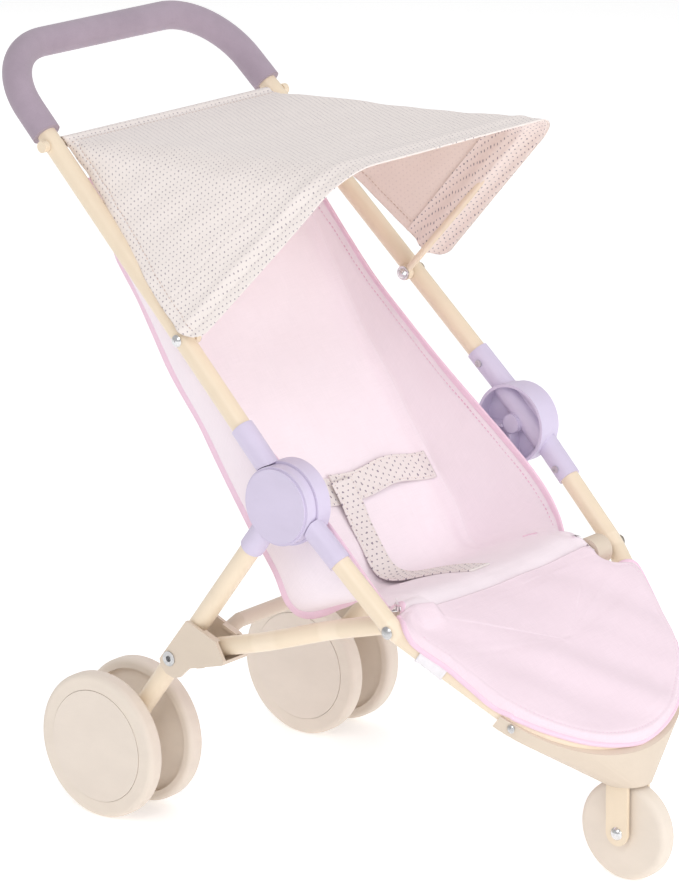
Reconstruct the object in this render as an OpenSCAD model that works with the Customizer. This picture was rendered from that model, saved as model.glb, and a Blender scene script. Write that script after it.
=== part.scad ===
// Three-wheeled folding doll stroller: tube frame, round hubs, sling seat and canopy.
// +Z up, the child faces -Y, +X is the child's left. Origin on the floor under the middle.

/* [Frame tubes] */
// Diameter of the main frame tube
tube_d = 13.5; // [10:0.5:18]
// Wall thickness of every tube
wall = 1.2; // [0.6:0.1:2]
// Diameter of the rear leg tube
leg_d = 14; // [10:0.5:18]
// Angle of the main tube above the floor
pitch = 43.6; // [35:0.1:55]
// Distance from the hub line to the middle of the handle bar
handle_reach = 380; // [300:1:450]
// Half width of the frame at the hubs
frame_half = 128.5; // [100:0.5:150]
// Corner radius of the handle
handle_bend = 52; // [25:1:80]

/* [Grip] */
// Outer diameter of the foam grip
grip_d = 20.5; // [16:0.5:28]
// Distance from the hub line to the end of the grip
grip_start = 308; // [250:1:340]

/* [Front bend] */
// Slope of the front bend below the floor line
nose_pitch = 38; // [25:1:50]
// Distance from the brace pivot to the front of the bend
nose_reach = 134; // [90:1:160]
// Radius of the front bend
nose_bend = 92; // [60:1:120]

/* [Hubs] */
// Radius of the hub drum
drum_r = 28.5; // [20:0.5:40]
// Radius of the outer hub face
face_r = 26.8; // [18:0.5:38]
// Outer diameter of a tube socket
socket_d = 16; // [15:0.5:22]

/* [Wheels] */
// Rear wheel radius
rear_r = 52; // [40:1:65]
// Rear wheel thickness
rear_t = 13; // [8:0.5:20]
// Front wheel radius
front_r = 34.6; // [25:0.2:45]
// Front wheel thickness
front_t = 14; // [8:0.5:20]
// Axle diameter
axle_d = 6; // [4:0.5:8]

/* [Canopy] */
// Bow wire diameter
bow_d = 5; // [3:0.5:8]
// Reach of the bow from its pivots
bow_reach = 172; // [120:1:200]
// Rest angle of the bow above the forward horizontal
bow_angle = 47.4; // [30:0.1:80]

/* [Hidden] */
$fn = 48;
cu = cos(pitch);
su = sin(pitch);
hub_y = -29.7;
hub_z = 256.4;
base_y = hub_y - 7 * su;
base_z = hub_z + 7 * cu;
run = 0.05;
seam = 0.01;
axle_y = 139.2;
front_y = -216.4;
leg_x_top = 131;
leg_x_low = 108;
pin_y = 73.7;
pin_z = 128.2;
knee_y = 46.2;
knee_z = 138.5;
bar_y = 49.7;
bar_z = 148.7;
lug_y = 54.5;
lug_z = 139.5;
nose_x = 68;
cream = [0.96, 0.89, 0.79];
beige = [0.87, 0.81, 0.74];
lilac = [0.86, 0.82, 0.9];
mauve = [0.70, 0.64, 0.69];
steel = [0.78, 0.78, 0.8];
pink = [0.97, 0.89, 0.94];
cotton = [0.94, 0.9, 0.89];

// a point on the frame plane: x across, s up the main tube from the hub, n square to it
function fp(x, s, n = 0) = [x, base_y + s * cu - n * su, base_z + s * su + n * cu];
function tube_x(s) = s > 0 ? frame_half - 0.0465 * s : frame_half + 0.069 * s;
brace_s = -111.7;
f_pt = fp(tube_x(brace_s), brace_s);
cn = cos(nose_pitch);
sn = sin(nose_pitch);
// a point on the front bend's plane: t forward from the brace pivot, n above it
function np(x, t, n = 0) = [x, f_pt[1] - t * cn - n * sn, f_pt[2] - t * sn + n * cn];
function unit(v) = v / norm(v);
function side(v, k) = [k * v[0], v[1], v[2]];

module rod(p, q, r) {
    d = unit(q - p);
    translate(p) rotate([0, acos(d[2]), atan2(d[1], d[0])]) cylinder(h = norm(q - p), r = r);
}

module elbow(a, b, c, bend, r, r0 = 0) {
    d1 = unit(b - a);
    d2 = unit(c - b);
    ang = acos(d1 * d2);
    centre = b + unit(d2 - d1) * bend / cos(ang / 2);
    e1 = unit(b - d1 * bend * tan(ang / 2) - centre);
    e3 = cross(e1, d1);
    translate(centre)
        rotate([atan2(d1[2], e3[2]), -asin(e1[2]), atan2(e1[1], e1[0])])
            rotate_extrude(angle = ang) translate([bend, 0]) difference() {
                circle(r);
                if (r0 > 0) circle(r0);
            }
}

// straight runs and round bends through the points; bends[i] is the radius at point i
function cut(p, bends, i) = bends[i] == 0 ? 0 :
    bends[i] * tan(acos(unit(p[i] - p[i - 1]) * unit(p[i + 1] - p[i])) / 2);

// a bent bar, or a tube when r0 is its bore; the children are cut out of its
// straight runs, and out of its bends too when they are drilled
module path(p, bends, r, r0 = 0, drilled = false) {
    last = len(p) - 1;
    for (i = [0 : last - 1]) {
        d = unit(p[i + 1] - p[i]);
        a = p[i] + d * (i == 0 ? 0 : cut(p, bends, i) + seam);
        b = p[i + 1] - d * (i == last - 1 ? 0 : cut(p, bends, i + 1) + seam);
        difference() {
            rod(a, b, r);
            if (r0 > 0) rod(a - d, b + d, r0);
            children();
        }
    }
    for (i = [1 : last - 1]) difference() {
        elbow(p[i - 1], p[i], p[i + 1], bends[i], r, r0);
        if (drilled) children();
    }
}

module x_pin(x0, x1, y, z, r) {
    translate([min(x0, x1), y, z]) rotate([0, 90, 0]) cylinder(h = abs(x1 - x0), r = r);
}

// a dome head on the plane x, pointing outboard on side k
module dome(x, y, z, r, h, k) {
    ball = (r * r + h * h) / (2 * h);
    translate([x, y, z]) rotate([0, k * 90, 0]) rotate_extrude() intersection() {
        translate([0, h - ball]) circle(ball);
        square([r, h]);
    }
}

module side_plate(x0, x1, shape) {
    translate([min(x0, x1), 0, 0]) rotate([90, 0, 90]) linear_extrude(abs(x1 - x0)) polygon(shape);
}

// ---- upper frame ----
handle_pts = [for (q = [[1, 30], [1, handle_reach], [-1, handle_reach], [-1, 30]])
    fp(q[0] * tube_x(q[1]), q[1])];

module handle_tube() {
    color(cream) path(handle_pts, [0, handle_bend, handle_bend, 0], tube_d / 2, tube_d / 2 - wall) {
        x_pin(-130, 130, rod_y, rod_z, 2.55);
        for (k = [-1, 1]) {
            x_pin(k * 100, k * 140, bow_y, bow_z, 2.05);
            x_pin(k * 114, k * 126, fp(0, 48)[1], fp(0, 48)[2], 1.55);
        }
    }
}

module handle_grip() {
    pts = [for (q = [[1, grip_start], [1, handle_reach], [-1, handle_reach], [-1, grip_start]])
        fp(q[0] * tube_x(q[1]), q[1])];
    color(mauve) path(pts, [0, handle_bend, handle_bend, 0], grip_d / 2, tube_d / 2 + run);
}

// ---- hubs: the drum carries both frame tubes ----
module hub(k) {
    top0 = fp(k * tube_x(24), 24);
    top1 = fp(k * tube_x(58), 58);
    low0 = fp(k * tube_x(-24), -24);
    low1 = fp(k * tube_x(-55), -55);
    color(lilac) difference() {
        union() {
            difference() {
                x_pin(k * 114.4, k * 127, hub_y, hub_z, drum_r);
                x_pin(k * 113, k * 124.6, hub_y, hub_z, drum_r - 2.1);
            }
            difference() {
                intersection() {
                    x_pin(k * 114.4, k * 126, hub_y, hub_z, drum_r - 1);
                    union() {
                        rod(fp(k * tube_x(-28), -28), fp(k * tube_x(28), 28), socket_d / 2 + 0.6);
                        translate([k * 120 - 6, hub_y - 0.8, hub_z - 30]) cube([12, 1.6, 30]);
                        translate([k * 120 - 6, hub_y, hub_z - 3]) cube([12, 30, 1.6]);
                    }
                }
                x_pin(k * 113, k * 117.01, hub_y, hub_z, 7);
            }
            x_pin(k * 117, k * 126, hub_y, hub_z, 7);
            difference() {
                union() {
                    rod(top0, top1, socket_d / 2);
                    rod(low0, low1, socket_d / 2);
                }
                x_pin(k * 127, k * 150, hub_y, hub_z, face_r + 0.6);
                x_pin(k * 100, k * 127.01, hub_y, hub_z, drum_r - 2.1);
            }
        }
        rod(fp(k * tube_x(29.9), 29.9), fp(k * tube_x(70), 70), tube_d / 2 + run);
        rod(fp(k * tube_x(-29.9), -29.9), fp(k * tube_x(-70), -70), tube_d / 2 + run);
        x_pin(k * 113, k * 128, hub_y, hub_z, 4 + run);
        x_pin(k * 112, k * 126, fp(0, 48)[1], fp(0, 48)[2], 1.55);
        x_pin(k * 112, k * 126, fp(0, -46)[1], fp(0, -46)[2], 1.55);
    }
}

module hub_pins() {
    color(steel) for (k = [-1, 1]) {
        x_pin(k * 115.5, k * 134.9, hub_y, hub_z, 4);
        x_pin(k * 115.5, k * 117, hub_y, hub_z, 6.5);
    }
}

module socket_rivets() {
    color(steel) for (k = [-1, 1], s = [48, -46]) {
        x_pin(k * (tube_x(s) - 6.2), k * (tube_x(s) - 8.8), fp(0, s)[1], fp(0, s)[2], 1.5);
        difference() {
            x_pin(k * (tube_x(s) - 8.3), k * (tube_x(s) - 9.3), fp(0, s)[1], fp(0, s)[2], 2.6);
            x_pin(k * (tube_x(s) - 8.9), k * (tube_x(s) - 9.4), fp(0, s)[1], fp(0, s)[2], 1.1);
        }
    }
}

module leg_hub(k) {
    h0 = [k * leg_x_top, hub_y, hub_z];
    h1 = [k * leg_x_low, axle_y, rear_r];
    d = unit(h1 - h0);
    color(lilac) difference() {
        union() {
            x_pin(k * 127.3, k * 135.9, hub_y, hub_z, face_r);
            x_pin(k * 135.9, k * 137.4, hub_y, hub_z, face_r - 1.6);
            difference() {
                rod(h0 + d * 10, h0 + d * 46, 8.4);
                x_pin(k * 100, k * 127.3, hub_y, hub_z, drum_r + 0.5);
                x_pin(k * 137.4, k * 150, hub_y, hub_z, drum_r + 0.5);
            }
        }
        rod(h0 + d * 30, h0 + d * 60, leg_d / 2 + run);
        x_pin(k * 127, k * 135, hub_y, hub_z, 4 + run);
    }
}

// ---- front frame ----
front_pts = concat([fp(tube_x(-30), -30), f_pt, np(nose_x, nose_reach)],
    [side(np(nose_x, nose_reach), -1), side(f_pt, -1), side(fp(tube_x(-30), -30), -1)]);
front_bends = [0, 40, nose_bend, nose_bend, 40, 0];

module front_tube() {
    color(cream) path(front_pts, front_bends, tube_d / 2, tube_d / 2 - wall, true) {
        for (k = [-1, 1]) {
            x_pin(k * 100, k * 140, f_pt[1], f_pt[2], 2.55);
            x_pin(k * 106, k * 124, fp(0, -46)[1], fp(0, -46)[2], 1.55);
        }
    }
}

module frame_pivots() {
    color(steel) for (k = [-1, 1]) {
        x_pin(k * (boss_out + 0.3), k * (f_pt[0] + tube_d / 2 + 0.6), f_pt[1], f_pt[2], 2.5);
        x_pin(k * (boss_out + 0.3), k * 110.6, f_pt[1], f_pt[2], 4.4);
        dome(k * (f_pt[0] + tube_d / 2 + 0.4), f_pt[1], f_pt[2], 4.4, 2.2, k);
    }
}

// ---- nose, fork and front wheel ----
nose_c = nose_reach - nose_bend;
nose_side = sqrt(pow(nose_bend + 13, 2) - pow(92 - nose_c, 2));

module nose_plate(r, n0, n1, t0) {
    translate(np(0, nose_c, n0)) rotate([nose_pitch, 0, 0]) linear_extrude(n1 - n0)
        intersection() {
            circle(r, $fn = 96);
            translate([-150, -150]) square([300, 150 - (t0 - nose_c)]);
        }
}

module nose_housing() {
    color(beige) difference() {
        hull() {
            nose_plate(nose_bend + 13, -9, 1.5, 85);
            translate([0, front_y + 1, 69]) cylinder(h = 3, r = 17, $fn = 32);
        }
        hull() {
            nose_plate(nose_bend - 4, -5.5, 3, 80);
            translate([0, front_y + 6, 80]) cylinder(h = 3, r = 12, $fn = 32);
        }
        path(front_pts, front_bends, tube_d / 2 + run);
        translate([-11.2, front_y - 9, 60]) cube([22.4, 18, 19.5]);
        x_pin(-8.5, 8.5, front_y, front_r, front_r + 2.5);
        for (k = [-1, 1]) x_pin(k * 60, k * 120, nose_rivet[1], nose_rivet[2], 1.55);
    }
}

nose_rivet = np(0, 95, -1.5);

module nose_rivets() {
    color(steel) for (k = [-1, 1]) {
        x_pin(k * 90, k * nose_side, nose_rivet[1], nose_rivet[2], 1.5);
        dome(k * nose_side, nose_rivet[1], nose_rivet[2], 3, 1.5, k);
    }
}

module arm(x0, x1, r, top) {
    difference() {
        union() {
            x_pin(x0, x1, front_y, front_r, r);
            translate([min(x0, x1), front_y - r, front_r]) cube([abs(x1 - x0), 2 * r, top - front_r]);
        }
        x_pin(x0 - 1, x1 + 1, front_y, front_r, axle_d / 2 + run);
        x_pin(x1 - 1, x0 + 1, front_y, front_r, axle_d / 2 + run);
    }
}

module fork() {
    color(cream) {
        for (k = [-1, 1]) arm(k * 8.6, k * 11, 7.6, 79);
        translate([-8.6, front_y - 7.6, 76.6]) cube([17.2, 15.2, 2.4]);
    }
}

module fork_cheeks() {
    color(beige) for (k = [-1, 1]) arm(k * 11.1, k * 12.9, 8.6, 68.5);
}

module front_axle() {
    color(steel) {
        x_pin(-13.4, 13.4, front_y, front_r, axle_d / 2);
        for (k = [-1, 1]) dome(k * 13, front_y, front_r, 4.6, 2.6, k);
    }
}

module rim_cut(r, t, e) {
    // rounded tread corners
    rotate_extrude() difference() {
        translate([r - e, 0]) square([e + 1, e]);
        translate([r - e, e]) circle(e);
    }
    rotate_extrude() difference() {
        translate([r - e, t - e]) square([e + 1, e]);
        translate([r - e, t - e]) circle(e);
    }
}

module rear_wheel(x, k, boss) {
    color(beige) translate([x, axle_y, rear_r]) rotate([0, k * 90, 0]) difference() {
        union() {
            cylinder(h = rear_t, r = rear_r);
            translate([0, 0, -boss]) cylinder(h = boss + 1, r = 9);
        }
        rim_cut(rear_r, rear_t, 4);
        difference() {
            translate([0, 0, -1]) cylinder(h = 6.5, r = 45);
            translate([0, 0, -2]) cylinder(h = 9, r = 9);
        }
        translate([0, 0, rear_t - 1.2]) cylinder(h = 2, r = 40.3);
        translate([0, 0, -boss - 1]) cylinder(h = 40, r = axle_d / 2 + run);
    }
}

module wheel_cap(x, k) {
    color(beige) translate([x, axle_y, rear_r]) rotate([0, k * 90, 0])
        translate([0, 0, rear_t - 1.2]) cylinder(h = 1.5, r = 40);
}

module front_wheel() {
    color(beige) translate([-front_t / 2, front_y, front_r]) rotate([0, 90, 0]) difference() {
        union() {
            cylinder(h = front_t, r = front_r);
            translate([0, 0, -1.3]) cylinder(h = front_t + 2.6, r = 6);
        }
        rim_cut(front_r, front_t, 4.5);
        translate([0, 0, -4]) cylinder(h = front_t + 8, r = axle_d / 2 + run);
    }
}

// ---- rear legs ----
module leg(k) {
    h0 = [k * leg_x_top, hub_y, hub_z];
    h1 = [k * leg_x_low, axle_y, rear_r];
    d = unit(h1 - h0);
    color(cream) difference() {
        union() {
            rod(h0 + d * 30.5, h1 - d * 10, leg_d / 2);
            rod(h1 - d * 10, h1 + d * 6, leg_d / 2);
        }
        rod(h0 + d * 28, h1 - d * 12, leg_d / 2 - wall);
        x_pin(k * 96, k * 120, axle_y, rear_r, axle_d / 2 + run);
        x_pin(k * 100, k * 140, pin_y, pin_z, 3 + run);
    }
}

module axle(k) {
    color(steel) x_pin(k * 83, k * 134, axle_y, rear_r, axle_d / 2);
}

// ---- folding brace: bracket on the leg, tube to the front frame ----
leg_k = (hub_z - pin_z) / (hub_z - rear_r);
pin_x = leg_x_top - (leg_x_top - leg_x_low) * leg_k;
bracket_out = 129.9;
bracket_in = 103.2;
bracket_shape = [[82.7, 126.5], [81.7, 121.5], [77.2, 117], [70.7, 115], [64.7, 116.5], [60.2, 121],
    [56, 124.6], [26, 133], [24.5, 136], [31.5, 148.5], [37, 150.6], [54, 157.4], [58, 158]];

module bracket(k) {
    color(beige) difference() {
        union() {
            side_plate(k * bracket_out, k * (bracket_out - 2.6), bracket_shape);
            side_plate(k * bracket_in, k * (bracket_in + 2.4), bracket_shape);
            // web that closes the front and underside
            side_plate(k * bracket_out, k * bracket_in,
                [[52, 125.7], [26, 133], [24.5, 136], [26.6, 135.4], [27.5, 134.7], [52, 127.9]]);
            // flanges along the top edges, open between them for the brace
            for (x = [[bracket_out, 124.7], [bracket_in, 108.5]]) side_plate(k * x[0], k * x[1],
                [[31.5, 148.5], [37, 150.6], [44, 153.4], [44, 151.1], [37.8, 148.6], [33, 146.8]]);
            // ledge for the cross bar
            translate([min(k * (bracket_in + 1), k * 92), lug_y - 6.5, lug_z - 5])
                cube([bracket_in - 91, 13, 4.9]);
        }
        x_pin(k * 90, k * 140, pin_y, pin_z, 3 + run);
        x_pin(k * 90, k * (bracket_out - 1), knee_y, knee_z, 2.5 + run);
        translate([k * 97, lug_y, lug_z - 8]) cylinder(h = 20, r = 1.55);
    }
}

module bracket_eyelets() {
    color(steel) for (k = [-1, 1]) difference() {
        union() {
            x_pin(k * (bracket_in - 0.4), k * (bracket_out + 0.4), pin_y, pin_z, 3);
            x_pin(k * bracket_out, k * (bracket_out + 0.9), pin_y, pin_z, 5.2);
            x_pin(k * bracket_in, k * (bracket_in - 0.9), pin_y, pin_z, 5.2);
        }
        x_pin(k * (bracket_out - 3), k * (bracket_out + 2), pin_y, pin_z, 2.2);
    }
}

module knee_pins() {
    color(steel) for (k = [-1, 1])
        x_pin(k * (bracket_in - 0.6), k * (bracket_out - 1.4), knee_y, knee_z, 2.5);
}

module cross_bar() {
    color(cream) {
        difference() {
            x_pin(-84, 84, bar_y, bar_z, 5.2);
            x_pin(-85, 85, bar_y, bar_z, 4.2);
        }
        for (k = [-1, 1]) difference() {
            hull() {
                x_pin(k * 84.01, k * 85, bar_y, bar_z, 5.2, $fn = 32);
                translate([k * 96.5, lug_y, lug_z]) cylinder(h = 2.4, r = 6, $fn = 32);
            }
            translate([k * 97, lug_y, lug_z - 8]) cylinder(h = 20, r = 1.55);
            translate([k * 97, lug_y, lug_z + 2.4]) cylinder(h = 9, r = 3.4);
        }
    }
}

module cross_bar_screws() {
    color(steel) for (k = [-1, 1]) translate([k * 97, lug_y, lug_z]) {
        translate([0, 0, -4.5]) cylinder(h = 7.5, r = 1.5);
        translate([0, 0, 2.4]) cylinder(h = 1.2, r = 3.2);
    }
}

boss_out = 105;
boss_in = 89.4;
brace_x = (boss_out + boss_in) / 2;
brace_d = unit([0, knee_y - f_pt[1], knee_z - f_pt[2]]);

module brace(k) {
    q0 = [k * pin_x, knee_y, knee_z];
    b0 = [k * brace_x, f_pt[1], f_pt[2]];
    e = [0, brace_d[1], brace_d[2]];
    color(cream) path([q0 + e * 4, q0 - e * 50, b0 + e * 74, b0 + e * 12], [0, 45, 45, 0],
        tube_d / 2 - 0.2, tube_d / 2 - 0.2 - wall)
        x_pin(k * 90, k * 140, knee_y, knee_z, 2.5 + run);
}

module brace_end(k) {
    b0 = [k * brace_x, f_pt[1], f_pt[2]];
    e = [0, brace_d[1], brace_d[2]];
    color(beige) difference() {
        union() {
            x_pin(k * boss_out, k * boss_in, f_pt[1], f_pt[2], 10.6);
            rod(b0 + e * 3, b0 + e * 27, (boss_out - boss_in) / 2);
        }
        rod(b0 + e * 11.9, b0 + e * 40, tube_d / 2 - 0.15);
        x_pin(k * (brace_x - 20), k * (brace_x - 5), (b0 + e * 20)[1], (b0 + e * 20)[2], 1.55);
    }
}

module brace_eyelets() {
    color(steel) for (k = [-1, 1]) {
        e = [0, brace_d[1], brace_d[2]];
        c = [k * brace_x, f_pt[1], f_pt[2]] + e * 20;
        x_pin(k * (brace_x - 6.6), k * (brace_x - 8.3), c[1], c[2], 1.5);
        difference() {
            x_pin(k * (brace_x - 8), k * (brace_x - 9), c[1], c[2], 2.8);
            x_pin(k * (brace_x - 8.4), k * (brace_x - 9.1), c[1], c[2], 1.2);
        }
    }
}

// ---- canopy ----
bow_pt = fp(0, 132);
bow_y = bow_pt[1];
bow_z = bow_pt[2];
bow_x = tube_x(132) - tube_d / 2 - 0.4 - bow_d / 2;
rod_pt = fp(0, 299);
rod_y = rod_pt[1];
rod_z = rod_pt[2];

function bow_at(x, r, da = 0) = [x, bow_y - r * cos(bow_angle + da), bow_z + r * sin(bow_angle + da)];

bow_pts = [bow_at(bow_x, 5), bow_at(bow_x, bow_reach), bow_at(-bow_x, bow_reach), bow_at(-bow_x, 5)];

module canopy_bow() {
    color(cream) {
        path(bow_pts, [0, 24, 24, 0], bow_d / 2);
        for (k = [-1, 1]) difference() {
            x_pin(k * (bow_x - 2.4), k * (bow_x + 2.4), bow_y, bow_z, 5.4);
            x_pin(k * (bow_x - 3), k * (bow_x + 3), bow_y, bow_z, 2 + run);
        }
    }
}

module canopy_bolts() {
    color(steel) for (k = [-1, 1]) {
        x_pin(k * (bow_x - 4), k * (tube_x(132) + tube_d / 2 + 0.6), bow_y, bow_z, 2);
        dome(k * (tube_x(132) + tube_d / 2 + 0.2), bow_y, bow_z, 4.2, 2.3, k);
        x_pin(k * (bow_x - 2.6), k * (bow_x - 3.5), bow_y, bow_z, 5);
        dome(k * (bow_x - 3.4), bow_y, bow_z, 3.6, 3.2, -k);
    }
}

module canopy_rod() {
    color(cream) x_pin(-124, 124, rod_y, rod_z, 2.5);
}

module canopy_clips() {
    color(cream) for (k = [-1, 1]) difference() {
        x_pin(k * (tube_x(299) + 7.15), k * 126.5, rod_y, rod_z, 4);
        x_pin(k * 110, k * 124.1, rod_y, rod_z, 2.5 + run);
    }
}

module canopy_fabric() {
    c = bow_at(0, bow_reach + 5);
    out = [[rod_y + 5, rod_z + 3], [rod_y - 20, rod_z + 6], [c[1], c[2] + 3],
        [c[1] - 9, c[2] - 4], [bow_y - 26, bow_z - 3], [bow_y - 8, bow_z + 1], [bow_y + 5, bow_z + 20],
        [rod_y - 8, rod_z - 2]];
    inn = [[rod_y + 20, rod_z - 1], [rod_y - 20, rod_z + 4], [c[1], c[2] + 1],
        [c[1] - 30, c[2] - 40], [bow_y - 60, bow_z - 60], [rod_y + 60, rod_z - 90]];
    color(cotton) difference() {
        side_plate(-105.5, 105.5, out);
        side_plate(-103.7, 103.7, inn);
        x_pin(-200, 200, rod_y, rod_z, 2.9);
        path(bow_pts, [0, 24, 24, 0], bow_d / 2 + 0.5);
    }
}

// ---- seat sling, footrest and harness ----
seat_half = 96;

module seat_fabric() {
    out = [[165, 457], [-82, 222], [-110, 210], [-110, 199.4], [-70, 190], [-1, 167.5], [10, 172],
        [64, 263], [98, 313], [173, 447]];
    inn = [[160, 470], [-82, 260], [-118, 212], [-110, 201.4], [-70, 192], [-2, 169.6], [9, 174],
        [62, 264], [96, 314], [170.5, 447]];
    color(pink) difference() {
        side_plate(-seat_half, seat_half, out);
        side_plate(1.6 - seat_half, seat_half - 1.6, inn);
        // narrower in front, between the brace pivots
        for (k = [-1, 1]) translate([k > 0 ? 88 : -188, -200, 0]) cube([100, 140, 400]);
    }
}

module footrest_fabric() {
    // half outline: [half width, distance forward of the brace pivots]
    half = [[88, 1], [88, 19], [107, 21], [108, 40], [104, 62], [97, 84], [85, 100], [69, 115],
        [49, 128], [30, 136.5], [10, 142]];
    last = len(half) - 1;
    color(pink) translate(np(0, 0, 8.5)) rotate([nose_pitch, 0, 0]) linear_extrude(2)
        polygon([for (i = [0 : last]) [half[i][0], -half[i][1]],
            for (i = [last : -1 : 0]) [-half[i][0], -half[i][1]]]);
}

module footrest_loops() {
    a = np(tube_x(brace_s), 0);
    b = np(nose_x, nose_reach);
    d = unit(b - a);
    color(cotton) for (k = [-1, 1]) difference() {
        rod(side(a + d * 23, k), side(a + d * 44, k), tube_d / 2 + 1.1);
        rod(side(a + d * 10, k), side(a + d * 50, k), tube_d / 2 + 0.2);
    }
}

module waist_strap(k) {
    color(cotton) hull() {
        translate([k * 90, 25, 219]) rotate([55, 0, 0]) cube([4, 22, 1.6], center = true);
        translate([k * 14, 33, 222]) rotate([55, 0, 0]) cube([4, 22, 1.6], center = true);
    }
}

module crotch_strap() {
    color(cotton) {
        hull() {
            translate([0, -58, 196]) rotate([-18, 0, 0]) cube([22, 4, 1.6], center = true);
            translate([0, -6, 186]) rotate([-18, 0, 0]) cube([22, 4, 1.6], center = true);
        }
        hull() {
            translate([0, -6, 186]) rotate([-18, 0, 0]) cube([22, 4, 1.6], center = true);
            translate([0, 22, 213]) rotate([46, 0, 0]) cube([22, 4, 1.6], center = true);
        }
    }
}

handle_tube();
handle_grip();
front_tube();
hub(-1);  // hub_right
hub(1);  // hub_left
hub_pins();
socket_rivets();
frame_pivots();
nose_housing();
nose_rivets();
fork();
fork_cheeks();
front_axle();
front_wheel();
leg_hub(-1);  // leg_hub_right
leg_hub(1);  // leg_hub_left
leg(-1);  // leg_right
leg(1);  // leg_left
axle(-1);  // axle_right
axle(1);  // axle_left
rear_wheel(-122.7, -1, 6.4);  // wheel_right_outer
rear_wheel(-94.2, 1, 5.6);  // wheel_right_inner
rear_wheel(94.2, -1, 5.6);  // wheel_left_inner
rear_wheel(122.7, 1, 6.4);  // wheel_left_outer
wheel_cap(-122.7, -1);  // cap_right_outer
wheel_cap(-94.2, 1);  // cap_right_inner
wheel_cap(94.2, -1);  // cap_left_inner
wheel_cap(122.7, 1);  // cap_left_outer
bracket(-1);  // bracket_right
bracket(1);  // bracket_left
bracket_eyelets();
knee_pins();
cross_bar();
cross_bar_screws();
brace(-1);  // brace_right
brace(1);  // brace_left
brace_end(-1);  // brace_end_right
brace_end(1);  // brace_end_left
brace_eyelets();
canopy_bow();
canopy_bolts();
canopy_rod();
canopy_clips();
canopy_fabric();
seat_fabric();
footrest_fabric();
footrest_loops();
waist_strap(-1);  // waist_strap_right
waist_strap(1);  // waist_strap_left
crotch_strap();
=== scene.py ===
import math

import bmesh
import bpy
import numpy as np
from mathutils import Matrix, Vector


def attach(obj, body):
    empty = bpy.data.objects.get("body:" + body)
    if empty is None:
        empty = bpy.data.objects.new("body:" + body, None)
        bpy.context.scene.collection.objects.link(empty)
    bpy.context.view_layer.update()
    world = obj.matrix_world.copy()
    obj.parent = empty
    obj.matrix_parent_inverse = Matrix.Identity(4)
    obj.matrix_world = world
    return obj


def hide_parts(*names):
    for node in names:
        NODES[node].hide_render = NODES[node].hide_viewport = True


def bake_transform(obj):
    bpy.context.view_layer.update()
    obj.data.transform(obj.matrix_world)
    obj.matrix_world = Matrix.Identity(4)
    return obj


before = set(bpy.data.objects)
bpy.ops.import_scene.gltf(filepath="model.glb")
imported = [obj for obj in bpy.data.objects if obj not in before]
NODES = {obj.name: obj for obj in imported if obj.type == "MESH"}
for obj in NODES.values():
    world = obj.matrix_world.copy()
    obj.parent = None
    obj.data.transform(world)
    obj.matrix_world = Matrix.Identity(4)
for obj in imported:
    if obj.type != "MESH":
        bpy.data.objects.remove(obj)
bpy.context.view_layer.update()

TAU = 2 * math.pi
MM = 0.001    # shapes and UVs are worked out in millimetres and made in metres


# ---------------------------------------------------------------- materials

def lin(r, g, b):
    """An 8-bit sRGB colour as linear values."""
    def channel(c):
        return c / 12.92 if c <= 0.04045 else ((c + 0.055) / 1.055) ** 2.4

    return channel(r / 255), channel(g / 255), channel(b / 255), 1.0


def shade(colour, k, tint=(1, 1, 1)):
    """The colour k times as bright, tinted."""
    return (*(min(1, c * k * t) for c, t in zip(colour, tint)), 1.0)


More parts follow.
